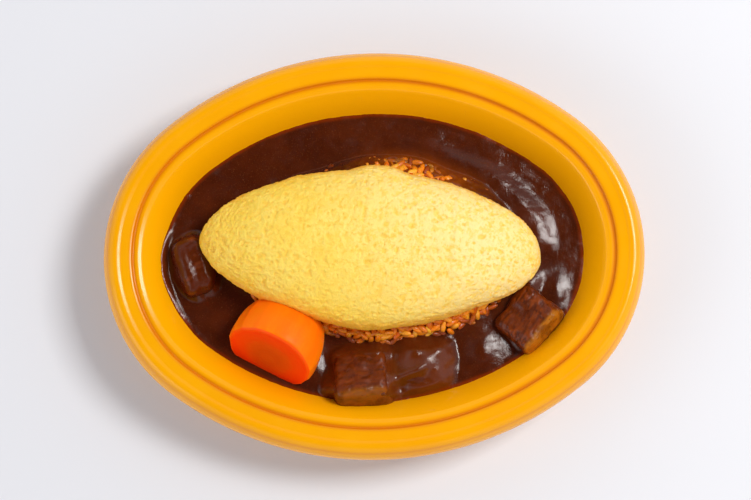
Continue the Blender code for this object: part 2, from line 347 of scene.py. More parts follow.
def sauce_look():
    dark, brown, fleck, thin, at_wall = ((0.055, 0.0085, 0.0016), (0.082, 0.0140, 0.0028),
                                         (0.15, 0.040, 0.012), (0.27, 0.050, 0.0022),
                                         (0.19, 0.024, 0.0005))
    look = Look("brown_sauce")
    grain = look.noise(1500, 2, 0.7)
    base = look.mix(look.shape(look.noise(60, 5, 0.6), 0.3, 0.7), dark, brown)
    base = look.mix(look.shape(grain, 0.56, 0.78, 0.0, 0.8), base, fleck)
    base = look.mix(look.attribute("film"), base, thin)
    base = look.mix(look.attribute("edge"), base, at_wall)
    relief = look.math("ADD", look.noise(330, 4, 0.68, look.coordinates((1, 0.35, 1), (0, 0, 0.55))),
                       look.math("MULTIPLY", grain, 0.55))
    rough = look.shape(look.noise(190, 5, 0.7), 0.38, 0.66, 0.11, 0.25)
    return look.finish(Base_Color=base, Roughness=rough, Normal=look.bump(relief, 0.42, 0.0003),
                       Subsurface_Weight=0.08, Subsurface_Radius=(0.004, 0.0010, 0.0003),
                       Subsurface_Scale=0.4, Specular_IOR_Level=0.34)


def egg_look():
    bright, golden, painted_sheen = (1.0, 0.700, 0.082), (1.0, 0.655, 0.042), (1.0, 0.745, 0.265)
    mottled, pitted, dry, shaded = ((1.0, 0.610, 0.030), (1.0, 0.590, 0.028),
                                    (0.98, 0.72, 0.28), (0.93, 0.44, 0.012))
    look = Look("egg")
    fine = look.noise(1100, 3, 0.65)
    base = look.mix(look.shape(look.noise(70, 3, 0.5), 0.35, 0.68), bright, golden)
    # painted sheen: a whiter cream towards the right and back, the side the softbox lights
    base = look.mix(look.attribute("painted_sheen"), base, painted_sheen)
    base = look.mix(look.shape(look.noise(330, 3, 0.6), 0.50, 0.62, 0.0, 0.65), base, mottled)
    base = look.mix(look.shape(look.attribute("pit"), 0.05, 0.70, 0.0, 0.80), base, pitted)
    base = look.mix(look.shape(fine, 0.58, 0.80, 0.0, 0.35), base, dry)
    base = look.mix(look.shape(look.attribute("low"), 0.30, 1.0, 0.0, 0.70), base, shaded)
    rough = look.shape(look.noise(120, 4, 0.6), 0.3, 0.7, 0.32, 0.48)
    return look.finish(Base_Color=base, Roughness=rough, Normal=look.bump(fine, 1.0, 0.0006),
                       Subsurface_Weight=0.20, Subsurface_Radius=(0.006, 0.0040, 0.0008),
                       Subsurface_Scale=0.38, Specular_IOR_Level=0.85)


def rice_look():
    tones = ((0.0, (0.18, 0.026, 0.001)), (0.25, (0.56, 0.110, 0.003)),
             (0.60, (0.84, 0.240, 0.006)), (1.0, (0.95, 0.44, 0.030)))
    soaked, husk = (0.120, 0.019, 0.002), (0.95, 0.46, 0.14)
    look = Look("tomato_rice")
    base = look.mix(look.attribute("wet"), look.ramp(look.attribute("tone"), tones), soaked)
    streak = look.noise(700, 3, 0.6)
    base = look.mix(look.shape(streak, 0.35, 0.75, 0.0, 0.35), base, husk, "SOFT_LIGHT")
    return look.finish(Base_Color=base, Roughness=look.shape(streak, 0.3, 0.7, 0.22, 0.36),
                       Normal=look.bump(streak, 0.25, 0.0003), Subsurface_Weight=0.25,
                       Subsurface_Radius=(0.004, 0.0016, 0.0006), Subsurface_Scale=0.5,
                       Specular_IOR_Level=0.38)


def carrot_look():
    orange, deeper = (0.96, 0.205, 0.0012), (0.95, 0.155, 0.0009)
    heart_to_skin = ((0.0, (0.62, 0.070, 0.0010)), (0.30, (0.60, 0.062, 0.0009)),
                     (0.52, (0.70, 0.068, 0.0009)), (0.66, (0.82, 0.056, 0.0006)),
                     (0.92, (0.93, 0.050, 0.0005)), (1.0, (0.96, 0.085, 0.0008)))
    look = Look("carrot")
    long_grain = look.noise(60, 4, 0.6, look.coordinates((1, 1, 0.18)))
    side = look.mix(look.shape(long_grain, 0.35, 0.68), orange, deeper)
    ring = look.math("ADD", look.attribute("out"),
                     look.math("MULTIPLY", look.noise(160, 4, 0.6), 0.10))
    base = look.mix(look.attribute("face"), side, look.ramp(ring, heart_to_skin))
    fine = look.noise(520, 4, 0.6)
    spoke = look.noise(1, 3, 0.6, look.coordinates((330, 330, 40)))
    relief = look.math("ADD", look.math("MULTIPLY", fine, 0.6), look.math("MULTIPLY", spoke, 0.6))
    return look.finish(Base_Color=base, Roughness=look.shape(fine, 0.3, 0.7, 0.34, 0.48),
                       Normal=look.bump(relief, 0.25, 0.0004), Subsurface_Weight=0.30,
                       Subsurface_Radius=(0.006, 0.0018, 0.0004), Subsurface_Scale=0.5,
                       Specular_IOR_Level=0.10)


def beef_look():
    dark, brown, light = (0.078, 0.0110, 0.0005), (0.200, 0.033, 0.0009), (0.29, 0.052, 0.0015)
    fatty, speck, coated = (0.50, 0.170, 0.006), (0.040, 0.0070, 0.0015), (0.080, 0.0125, 0.0020)
    look = Look("beef")
    glaze = look.attribute("glaze")
    base = look.mix(look.shape(look.attribute("fibre"), 0.2, 0.8), dark, brown)
    base = look.mix(look.shape(look.noise(150, 4, 0.6), 0.5, 0.75, 0.0, 0.6), base, light)
    base = look.mix(look.attribute("fat"), base, fatty)
    base = look.mix(look.shape(look.noise(700, 3, 0.6), 0.62, 0.74, 0.0, 0.7), base, speck)
    base = look.mix(glaze, base, coated)
    rough = look.shape(look.noise(300, 3, 0.6), 0.35, 0.7, 0.34, 0.50)
    rough = look.math("SUBTRACT", rough, look.math("MULTIPLY", glaze, 0.23))
    fine = look.noise(650, 4, 0.65)
    return look.finish(Base_Color=base, Roughness=rough, Normal=look.bump(fine, 0.30, 0.0005),
                       Subsurface_Weight=0.10, Subsurface_Radius=(0.004, 0.0012, 0.0004),
                       Subsurface_Scale=0.5, Specular_IOR_Level=0.22)


# ======================================== dish

def oval(inset, count):
    """Points (count, 2) of the four-arc oval at an inset, which is one number or one for each."""
    end = END_RADIUS
    side = ((HALF_WIDTH * HALF_WIDTH + (HALF_LENGTH - end) ** 2 - end * end)
            / (2 * (HALF_WIDTH - end)))
    meet = math.atan2(side - HALF_WIDTH, HALF_LENGTH - end)
    lengths = (end * meet, side * (math.pi / 2 - meet))
    quarter = sum(lengths)
    part, along = np.divmod(np.arange(count) / count * 4 * quarter, quarter)
    along = np.where(part % 2 == 1, quarter - along, along)
    turn = np.where(along < lengths[0], along / end, meet + (along - lengths[0]) / side)
    on_end = along < lengths[0]
    radius = np.where(on_end, end, side) - inset
    x = np.where(on_end, HALF_LENGTH - end, 0) + radius * np.cos(turn)
    y = np.where(on_end, 0, HALF_WIDTH - side) + radius * np.sin(turn)
    x = x * np.where((part == 1) | (part == 2), -1, 1)
    y = y * np.where(part >= 2, -1, 1)
    return np.stack([x, y], -1)


def rounded(points):
    """A profile with its corners cut twice (Chaikin)."""
    points = np.array(points)
    for _ in range(2):
        a = points[:-1] * 0.75 + points[1:] * 0.25
        b = points[:-1] * 0.25 + points[1:] * 0.75
        points = np.concatenate([points[:1], np.stack([a, b], 1).reshape(-1, 2), points[-1:]])
    return points


# Profiles are (inset from the outline, height)
SHOULDER = [(0.0182, 0.0396)]
INSIDE = [(0.0195, 0.0391), (0.0235, 0.0335), (0.0284, 0.0250), (0.0315, 0.0185),
          (0.0352, 0.0130), (0.0410, 0.0100), (0.0520, 0.0090)]
WALL = rounded(SHOULDER + INSIDE)


def dish_profile():
    under = [(0.0600, 0.0026), (0.0561, 0.0026), (0.0550, 0.0006), (0.0542, 0.0),
             (0.0498, 0.0), (0.0490, 0.0006), (0.0460, 0.0036), (0.0380, 0.0058),
             (0.0300, 0.0108), (0.0245, 0.0170), (0.0185, 0.0245), (0.0110, 0.0285),
             (0.0050, 0.0290), (0.0016, 0.0292)]
    lip = [(0.0001, 0.0312), (0.0, 0.0330), (0.0005, 0.0356), (0.0012, 0.0374),
           (0.0019, 0.0387), (0.0025, 0.0397), (0.0031, 0.0407)]
    band = [(0.0038, 0.0416), (0.0046, 0.0422), (0.0054, 0.04255), (0.0062, 0.04275), (0.0070, RIM),
            (0.0077, 0.04268), (0.0084, 0.0424), (0.0091, 0.0421), (0.0098, 0.0420),
            (0.0110, 0.0419), (0.0126, 0.04175), (0.0136, 0.04155), (0.0140, 0.0414)]
    groove = [(0.0143, 0.0413), (0.0147, 0.0405), (0.0149, 0.0402), (0.0152, 0.0400),
              (0.0158, 0.0400), (0.0166, 0.04003), (0.0173, 0.0400)]
    middle = [(0.0620, 0.0090)]
    return rounded(under + lip + band + groove + SHOULDER + INSIDE + middle)


def wall_height(inset):
    """Height of the dish's inner wall at an inset."""
    return np.interp(inset, WALL[:, 0], WALL[:, 1])


def wall_inset(height):
    return np.interp(height, WALL[::-1, 1], WALL[::-1, 0])


def bell(x, middle, spread):
    return np.exp(-((x - middle) / spread) ** 2)


def build_dish(mat):
    count, profile = 360, dish_profile()
    rings = [at_height(oval(inset, count), height) for inset, height in profile]
    verts = np.concatenate(rings + [[[0, 0, profile[0][1]], [0, 0, profile[-1][1]]]])
    # rounding takes a little off the crown: bring it back up to the rim
    verts[:, 2] = np.minimum(verts[:, 2] * RIM / profile[:, 1].max(), RIM)
    # glaze pools in the groove and a little on the outside of the crown; part of that darker colour is
    # painted shade of these recesses
    inset, height = profile.T
    groove = bell(inset, 0.0149, 0.0012) * (height > 0.030)
    ledge = bell(inset, 0.0028, 0.0005) * (height > 0.036)
    pool_and_shade = np.minimum(1.0, groove * 0.9 + ledge * 0.35)
    # painted light: share of the lighter yellow that stands in for light bounced onto the inner wall
    inner = smoothstep(0.0160, 0.0230, inset) * (height < 0.041)
    shares = {key: np.append(np.repeat(values, count), [0, 0])
              for key, values in (("pool_and_shade", pool_and_shade), ("inner", inner))}
    return mesh_object("dish_glazed", verts, closed_faces(len(profile), count), mat, shares)


# ======================================== heap

def uneven(angle):
    return 1 + sum(share * np.sin(waves * angle + phase) for waves, share, phase in HEAP_UNEVEN)


def heap_out(x, y):
    """Distance from the heap's middle, 1 at its foot."""
    u = (x - HEAP_CENTRE[0]) / (HEAP_LENGTH / 2)
    v = (y - HEAP_CENTRE[1]) / (HEAP_WIDTH / 2)
    return np.hypot(u, v) / uneven(np.arctan2(v, u))


def heap_height(x, y):
    """Height of the heap's skin, level with its foot anywhere outside."""
    out = np.clip(heap_out(x, y), 0, 1)
    return HEAP_SPRING + (HEAP_TOP - HEAP_SPRING) * (1 - out ** HEAP_ROUND) ** HEAP_CURVE


def heap_point(angle, rise, shrink):
    """Point under the heap's skin at an angle and a share of its dome's height."""
    share = (1 - rise ** (1 / HEAP_CURVE)) ** (1 / HEAP_ROUND) * uneven(angle)
    x = HEAP_CENTRE[0] + (HEAP_LENGTH / 2 * share - shrink) * np.cos(angle)
    y = HEAP_CENTRE[1] + (HEAP_WIDTH / 2 * share - shrink) * np.sin(angle)
    return x, y, HEAP_SPRING + (HEAP_TOP - HEAP_SPRING) * rise - shrink * 0.6


# ======================================== omelette

def fold(u):
    return np.exp(-((u - FOLD_PLACE) / FOLD_WIDTH) ** 4)


def half_width(along, back):
    """Half width of the omelette's back or front, from -1 to 1 along it."""
    power, curve, blunt = QUARTERS[(back, along < 0)]
    curve += (blunt - curve) * smoothstep(0.55, 0.95, abs(along))
    width = (OMELETTE_BACK if back else OMELETTE_FRONT) * (1 - abs(along) ** power) ** curve
    return width + (FOLD_DEPTH * fold(along * OMELETTE_LENGTH / 2) if back else 0)


def omelette_ring(along, top, below):
    """One section: over the top from the back edge to the front, then under."""
    edge = EDGE_TIP + (EDGE_MIDDLE - EDGE_TIP) * (1 - along ** 2)
    crown = CROWN * (1 - abs(along) ** 2.6) ** 0.6
    tip = math.sqrt(1 - abs(along) ** 6)
    angle = np.concatenate([np.arange(top) / top, 1 + np.arange(below) / below]) * math.pi
    across = np.cos(angle)
    u = along * OMELETTE_LENGTH / 2
    v = across * np.where(across > 0, half_width(along, True), half_width(along, False))
    x = OMELETTE_CENTRE[0] + u * math.cos(OMELETTE_TURN) - v * math.sin(OMELETTE_TURN)
    y = OMELETTE_CENTRE[1] + u * math.sin(OMELETTE_TURN) + v * math.cos(OMELETTE_TURN)
    lift = FOLD_RISE * fold(u) * np.maximum(across, 0) ** 2 * np.abs(np.sin(angle))
    over = edge + crown * np.abs(np.sin(angle)) ** 0.92 + lift
    low = np.maximum(heap_height(x, y) + 0.0008, DRAPE)
    under = edge - (edge - low) * tip * np.sqrt(np.maximum(0, 1 - across ** 6))
    z = np.where(angle <= math.pi, over, under)
    return np.column_stack([x, y, z]), np.where(angle <= math.pi, across, 2.0 * np.sign(across))


def add_pits(points, normals, count, radius, depth, mask, seed):
    """Oval dimples scattered over the top. Returns how deep each point sinks, in metres."""
    rng = np.random.default_rng(seed)
    picks = rng.choice(len(points), count, p=mask / mask.sum())
    tree = KDTree(len(points))
    for i, p in enumerate(points):
        tree.insert(p, i)
    tree.balance()
    sink = np.zeros(len(points))
    for pick in picks:
        centre, normal = points[pick], normals[pick]
        size = radius * math.exp(rng.normal(0, 0.38))
        stretch = rng.uniform(1.0, 2.1)
        heading = rng.uniform(0, math.pi)
        side = np.cross(normal, (math.cos(heading), math.sin(heading), 0.0))
        side /= np.linalg.norm(side) + 1e-9
        front = np.cross(side, normal)
        found = tree.find_range(centre, size * stretch * 1.9)
        index = np.array([i for _, i, _ in found])
        offset = points[index] - centre
        reach = np.hypot(offset @ side / size, offset @ front / (size * stretch))
        bowl = np.exp(-reach ** 2 * 1.3) - 0.22 * bell(reach, 1.35, 0.35)
        sink[index] += depth * rng.uniform(0.5, 1.3) * min(1.0, size / radius) * bowl
    return sink


def omelette_mesh(mat):
    """The smooth omelette, and where each point lies across it (past 1 on its underside)."""
    stations, top, below = ((386, 190, 24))
    rings, across = [], []
    for i in range(1, stations):
        w = 2 * i / stations - 1
        ring, side = omelette_ring(0.55 * w + 0.45 * math.sin(math.pi / 2 * w), top, below)
        rings.append(ring)
        across.append(side)
    tips = [(OMELETTE_CENTRE[0] + s * OMELETTE_LENGTH / 2 * math.cos(OMELETTE_TURN),
             OMELETTE_CENTRE[1] + s * OMELETTE_LENGTH / 2 * math.sin(OMELETTE_TURN), EDGE_TIP)
            for s in (-1, 1)]
    faces = closed_faces(stations - 1, top + below, flip=True)
    obj = mesh_object("omelette_egg", np.concatenate(rings + [tips]), faces, mat)
    return obj, np.concatenate(across + [np.ones(2)])


def along_omelette(points):
    """The points in mm, with X along the omelette and Y across it."""
    x, y, z = points.T / MM
    x, y = x - OMELETTE_CENTRE[0] / MM, y - OMELETTE_CENTRE[1] / MM
    c, s = math.cos(-OMELETTE_TURN), math.sin(-OMELETTE_TURN)
    return np.column_stack([x * c - y * s, x * s + y * c, z])


def crease_depth(local):
    u, v = local[:, 0], local[:, 1]
    total = np.zeros(len(u))
    for place, bow, width, deep in CREASES:
        line = u - (place + bow * (v - 6) ** 2 + 2.2 * smooth_noise(local / 9.0, place + 70))
        fade = smoothstep(38, 16, np.abs(v - 4))
        total += deep * fade * (bell(line, 0, width) - 0.6 * bell(line, 2.4, 1.9))
    return total


def build_omelette(mat):
    obj, across = omelette_mesh(mat)
    points, normals = points_and_normals(obj)
    over = np.abs(across) <= 1.0
    out = np.abs(np.where(over, across, 1))
    local = along_omelette(points)
    u, v = local[:, 0], local[:, 1]

    lumps = 0.60 * fbm(local / 17.0, 3, 3) + 0.34 * fbm(local / 4.6, 3, 9)
    lip = smoothstep(0.80, 0.97, np.abs(across)) * over
    scales = 0.34 * fbm(local / (5.0, 1.5, 1.5), 3, 21) * (0.25 + 0.75 * lip)
    crease = crease_depth(local)
    ripple = 0.24 * fbm(local / 1.6, 3, 40) + 0.14 * fbm(local / (1.0, 2.2, 1.4), 2, 41)

    fine = smoothstep(20, 45, u)  # the right end is finer and smoother
    mask = over * (0.25 + (1 - out) ** 0.3)
    sink = add_pits(points, normals, 560, 0.00070, 0.00042, mask * (1.05 - 0.85 * fine), 5)
    sink += add_pits(points, normals, 4600, 0.00042, 0.00032, mask * (1.0 - 0.35 * fine), 6)
    sink = sink / MM
    move = lumps + scales - crease + ripple - sink
    pinch = smoothstep(0, 4, np.minimum(OMELETTE_LENGTH / 2 / MM - 0.5 - np.abs(u), 60))
    move = np.where(over, move, 0.25 * lumps + 0.10 * ripple) * (0.15 + 0.85 * pinch)
    moved = points + normals * (move - 0.30)[:, None] * MM
    moved[:, 2] = np.minimum(moved[:, 2], CAD_TOP - CLEAR)
    move_points(obj, moved)
    set_attribute(obj, "pit", np.clip(sink * 1.9 - scales * 1.2 - ripple * 1.3 + crease * 0.8, 0, 1))
    # painted sheen: whiter towards the right and back end, where the softbox light falls
    set_attribute(obj, "painted_sheen", smoothstep(-35, 62, u + 0.5 * v))
    set_attribute(obj, "low", smoothstep(0.86, 1.0, out))
    return obj


# ======================================== carrot

def carrot_frame():
    lift, heading = math.radians(CARROT_LIFT), math.radians(CARROT_HEADING)
    axis = Vector((math.cos(lift) * math.cos(heading), math.cos(lift) * math.sin(heading),
                   math.sin(lift)))
    turn = axis.to_track_quat("Z", "Y").to_matrix().to_4x4()
    return Matrix.Translation(Vector(CARROT_FACE) - axis * CARROT_LENGTH / 2) @ turn


def carrot_profile():
    """(height, radius) along the slice: back, rounded edge, side, rounded edge, cut face."""
    half, edge = CARROT_LENGTH / 2 - CLEAR, CARROT_EDGE
    front, back = CARROT_RADIUS - CLEAR, CARROT_BACK_RADIUS - CLEAR
    profile = [(-half, s * (back - edge)) for s in (0.25, 0.5, 0.75, 1.0)]
    profile += [(-half + edge * (1 - math.cos(t)), back - edge + edge * math.sin(t))
                for t in (0.3, 0.6, 0.9, 1.2, 1.5)]
    for i in range(1, 34):
        t = i / 34
        belly = CARROT_BELLY * math.sin(math.pi * t) ** 0.8
        profile.append((-half + edge + (2 * half - 2 * edge) * t, back + (front - back) * t + belly))
    profile += [(half - edge + edge * math.sin(t), front - edge + edge * math.cos(t))
                for t in (0.1, 0.35, 0.6, 0.85, 1.1, 1.35)]
    profile += [(half - CLEAR + CARROT_CROWN * (1 - s * s), s * (front - edge))
                for s in np.linspace(1, 0.04, 30)]
    return np.array([(-half, 0.0)] + profile + [(half - CLEAR + CARROT_CROWN, 0.0)])


def peeled(angle):
    """Radius at an angle, as a share of the round slice: the soft flats a peeler leaves."""
    step = math.tau / CARROT_FLATS
    local = np.mod(angle + 0.35 * np.sin(2 * angle + 0.7), step) - step / 2
    flat = math.cos(step / 2) / np.cos(local)
    return 1 + 0.55 * (flat - flat.mean())


def build_carrot(mat):
    count = 168
    angle = np.arange(count) / count * math.tau
    round_share = peeled(angle) - 1
    back_tip, *profile, face_tip = carrot_profile()
    rings, out, face = [], [], []
    for height, radius in profile:
        blend = min(1.0, radius / ((CARROT_BACK_RADIUS - CLEAR) * 0.8))
        r = radius * (1 + round_share * blend)
        rings.append(at_height(np.column_stack([r * np.cos(angle), r * np.sin(angle)]), height))
        out.append(radius / (CARROT_RADIUS - CLEAR))
        face.append(float(height > CARROT_LENGTH / 2 - CLEAR - CARROT_EDGE * 0.35))
    verts = np.concatenate(rings + [[[0, 0, back_tip[0]], [0, 0, face_tip[0]]]])
    out, on_face = np.append(np.repeat(out, count), [0, 0]), np.append(np.repeat(face, count), [0, 1])
    obj = mesh_object("carrot_slice", verts, closed_faces(len(profile), count), mat,
                      {"out": out, "face": on_face})
    points, normals = points_and_normals(obj)
    mm = points / MM
    rough = 0.16 * fbm(mm / (7, 7, 16), 3, 2) + 0.035 * fbm(mm / 1.1, 3, 3)
    radius = np.hypot(mm[:, 0], mm[:, 1])
    ringed = 0.035 * np.sin(radius * 2.6 + 1.5 * smooth_noise(mm / 3.0, 8)) * on_face
    ringed -= 0.09 * bell(radius, 10.6, 0.7) * on_face  # the growth ring
    move_points(obj, points + normals * (rough + ringed - 0.12)[:, None] * MM)
    obj.matrix_world = carrot_frame()
    return obj


# ======================================== beef

def chunk_mesh(index, cuts):
    """The same braised cube as its solid, at a chosen fineness, with local places kept."""
    _, centre, size, turn, tilt_x, tilt_y = BEEF[index]
    bm = bmesh.new()
    bmesh.ops.create_cube(bm, size=2.0)
    bmesh.ops.subdivide_edges(bm, edges=bm.edges[:], cuts=cuts, use_grid_fill=True)
    local = np.array([v.co[:] for v in bm.verts])
    faces = np.array([[v.index for v in f.verts] for f in bm.faces])
    bm.free()
    power = BEEF_SQUARE[BEEF[index][0]]
    p = local / (np.abs(local) ** power).sum(1)[:, None] ** (1 / power)
    phase = 1.7 * index
    x, y, z = p.T
    ridge = 0.035 * np.sin(7.0 * x + 1.5 * y + phase)
    lump = 0.045 * np.sin(2.3 * y + 1.9 * z + 2 * phase)
    taper = 1 - 0.07 * z
    swell = 1 + ridge * np.abs(z) + lump * 0.6
    shape = np.column_stack([x * taper + 0.06 * y * z, y * taper + 0.05 * x,
                             z * (1 + 0.05 * np.sin(2 * x + phase))]) * swell[:, None]
    place = (Matrix.Translation(centre) @ Matrix.Rotation(math.radians(turn), 4, "Z")
             @ Matrix.Rotation(math.radians(tilt_x), 4, "X")
             @ Matrix.Rotation(math.radians(tilt_y), 4, "Y")
             @ Matrix.Diagonal((*[s / 2 for s in size], 1)))
    m = np.array(place)
    return shape @ m[:3, :3].T + m[:3, 3], faces, p


def build_beef(index, mat):
    name = BEEF[index][0]
    coat, deep, fatty = BEEF_SKIN[name]
    world, faces, p = chunk_mesh(index, 44)
    obj = mesh_object(name + "_braised", world, [faces], mat)
    points, normals = points_and_normals(obj)
    seed = 50 + 7 * index
    size = np.array(BEEF[index][2]) / MM / 2
    local = p * size
    strands = fbm(local / (9.0, 1.25, 1.25) + fbm(local / 6.0, 2, seed)[:, None] * 0.8, 3, seed + 1)
    split = -np.abs(fbm(local / (11, 2.6, 2.6), 2, seed + 2))
    split = smoothstep(-0.10, 0.0, split)  # narrow gaps between bundles
    lumps = fbm(local / 5.5, 3, seed + 3)
    move = deep * (0.55 * strands - 0.75 * split) + (0.88 - 0.40 * coat) * lumps - 0.35
    move_points(obj, points + normals * move[:, None] * MM)
    fibre = np.clip(0.5 + (0.3 + 0.6 * deep) * (0.8 * strands - 0.6 * split), 0, 1)
    set_attribute(obj, "fibre", fibre)
    wet = smoothstep(0.30, -0.25, fbm(local / 6.0, 3, seed + 4) + 0.5 - coat)
    low = smoothstep(SAUCE_LEVEL / MM + 4.0, SAUCE_LEVEL / MM + 0.5, points[:, 2] / MM)
    set_attribute(obj, "glaze", np.clip(np.maximum(wet * (0.4 + 0.6 * coat), low), 0, 1))
    # the cut side that faces the wall is paler
    side = smoothstep(0.72, 0.90, -p[:, 1]) * fatty
    set_attribute(obj, "fat", side * (0.75 + 0.35 * fbm(local / 3.0, 3, seed + 5)))
    return obj


# ======================================== sauce

def top_samples(index):
    """Points on the upper skin of a beef piece."""
    world, faces, _ = chunk_mesh(index, 14)
    tree = BVHTree.FromPolygons(world.tolist(), faces.tolist())
    low, high = world.min(0), world.max(0)
    found = []
    for x in np.arange(low[0], high[0], 0.0011):
        for y in np.arange(low[1], high[1], 0.0011):
            hit = tree.ray_cast(Vector((x, y, 0.1)), Vector((0, 0, -1)))[0]
            if hit and hit.z > SAUCE_FOOTING:
                found.append(tuple(hit))
    return np.array(found)


def cover_of(points, film, slope, grid_x, grid_y):
    """Height of a film that lies on some points and runs down off them at a slope."""
    best = np.full(grid_x.shape, -1.0)
    for (x, y, z), extra in zip(points, film):
        reach = (z + extra - SAUCE_FOOTING) / slope + 0.001
        if reach <= 0:
            continue
        near = (np.abs(grid_x - x) < reach) & (np.abs(grid_y - y) < reach)
        away = np.hypot(grid_x[near] - x, grid_y[near] - y)
        best[near] = np.maximum(best[near], z + extra - slope * away)
    return best


def wall_line(count):
    """Height at which the sauce meets the wall: a little uneven, pushed up beside the beef."""
    x, y = oval(SAUCE_EDGE, count).T
    polar = np.arctan2(y, x)
    around = np.column_stack([np.cos(polar), np.sin(polar), np.zeros(count)])
    push = 0.0026 * bell(x, -0.0035, 0.016) * (y < 0)
    push += 0.0030 * bell(y, -0.0020, 0.016) * (x < 0)
    return (SAUCE_LEVEL - CLEAR + push + 0.0005 * fbm(around * 6, 3, 4)
            + 0.00022 * fbm(around * 40, 2, 5))


def open_surface(x, y, pos, line, gap):
    """Thick sauce: higher beside the heap, lower by the wall, with slow swells."""
    base = SAUCE_LEVEL - 0.0006
    lean = np.clip((heap_out(x, y) - 1.0) / 0.42, 0, 1)
    at_right = np.where(y > 0, smoothstep(0.010, 0.055, x), smoothstep(0.055, 0.078, x))
    swell = 0.0021 * (1 - smoothstep(0.20, 0.58, lean)) * at_right
    swell *= 1 - bell(y, -0.0035, 0.0060)
    for place, spread, rise in MOUNDS:
        swell += rise * np.exp(-((x - place[0]) / spread[0]) ** 2 - ((y - place[1]) / spread[1]) ** 2)
    level = base + swell + 0.00050 * fbm(pos / 14, 3, 11) + 0.00012 * fbm(pos / (3.6, 2.2, 1), 3, 12)
    return level + (line - base) * np.exp(-gap / 0.0017) * smoothstep(0.0060, 0.0, gap)


def at_back(y):
    return smoothstep(-0.2, 0.5, (y - HEAP_CENTRE[1]) / (HEAP_WIDTH / 2))


def heap_film(x, y, pos):
    """Height of the film over the heap: well up the back, low at the front."""
    back, out = at_back(y), heap_out(x, y)
    heap_top = heap_height(x, y) - (out > 1) * 0.01
    bare = bell(x, 0.018, 0.015) * smoothstep(1.0, 0.90, out)
    film = -0.0034 + back * (0.0052 - 0.0038 * bare + (0.0008 + 0.0010 * bare) * fbm(pos / 2.6, 2, 14)) \
        + 0.0008 * fbm(pos / 5.0, 2, 15) * (1 - back)
    return np.where(out < 1, heap_top + film, -1.0)


def beef_cover(index, x, y):
    """Height of the sauce film over a beef piece."""
    name, tops = BEEF[index][0], top_samples(index)
    film, slope = BEEF_FILM[name]
    film = np.full(len(tops), film)
    if name == "beef_front":  # its film thickens towards its right side
        film += 0.0031 * np.maximum(smoothstep(-0.001, 0.007, tops[:, 0]),
                                    smoothstep(-0.054, -0.047, tops[:, 1]))
    return cover_of(tops, film, slope, x, y)


def front_fold(x, y):
    """What a fold of sauce over the front piece adds, with the hollow on its right."""
    path = np.array(FOLD_PATH)
    ridge, aside = np.full(len(x), 1.0), np.zeros(len(x))
    for a, b in zip(path[:-1], path[1:]):
        span = b - a
        t = np.clip(((x - a[0]) * span[0] + (y - a[1]) * span[1]) / (span @ span), 0, 1)
        dx, dy = x - a[0] - t * span[0], y - a[1] - t * span[1]
        away = np.hypot(dx, dy)
        nearer = away < ridge
        ridge = np.where(nearer, away, ridge)
        aside = np.where(nearer, np.sign(span[1] * dx - span[0] * dy) * away, aside)
    tail = smoothstep(0.030, 0.020, x)
    return tail * (0.0014 * bell(ridge, 0, 0.0013) - 0.0021 * bell(aside, 0.0042, 0.0024))


def evened(field, share):
    """A grid of heights, smoothed by the share at each of its points."""
    for _ in range(9):
        soft = (np.roll(field, 1, 1) + np.roll(field, -1, 1) + 2 * field) / 4
        soft[1:-1] = (soft[:-2] + soft[2:] + 2 * soft[1:-1]) / 4
        field = field * (1 - share) + soft * share
    return field


def film_share(x, y, pos, above):
    """How thin the sauce is: on the front beef and on the heap's back."""
    thin = smoothstep(-0.0006, 0.0016, above) * 0.30 * smoothstep(-0.030, -0.050, y)
    side = smoothstep(-0.020, 0.020, x) * smoothstep(0.062, 0.036, x)
    thin = np.maximum(thin, at_back(y) * side * smoothstep(1.12, 0.93, heap_out(x, y)) * 0.85)
    return np.clip(thin * (0.75 + 0.25 * fbm(pos / 4.0, 3, 18)), 0, 1)


def hidden_rings(inner, count):
    """The rest of the sauce's body: down the inside, along the floor and up the wall."""
    rings = [at_height(inner, SAUCE_BOTTOM + 0.0005)]
    for share in (0.25, 0.5, 0.75):
        rings.append(at_height(inner * (1 - share) + oval(0.050, count) * share, SAUCE_BOTTOM))
    for inset in (0.0500, 0.0420, 0.0370, 0.0330, 0.0305):
        rings.append(at_height(oval(inset, count), wall_height(inset) + 0.0002))
    return rings


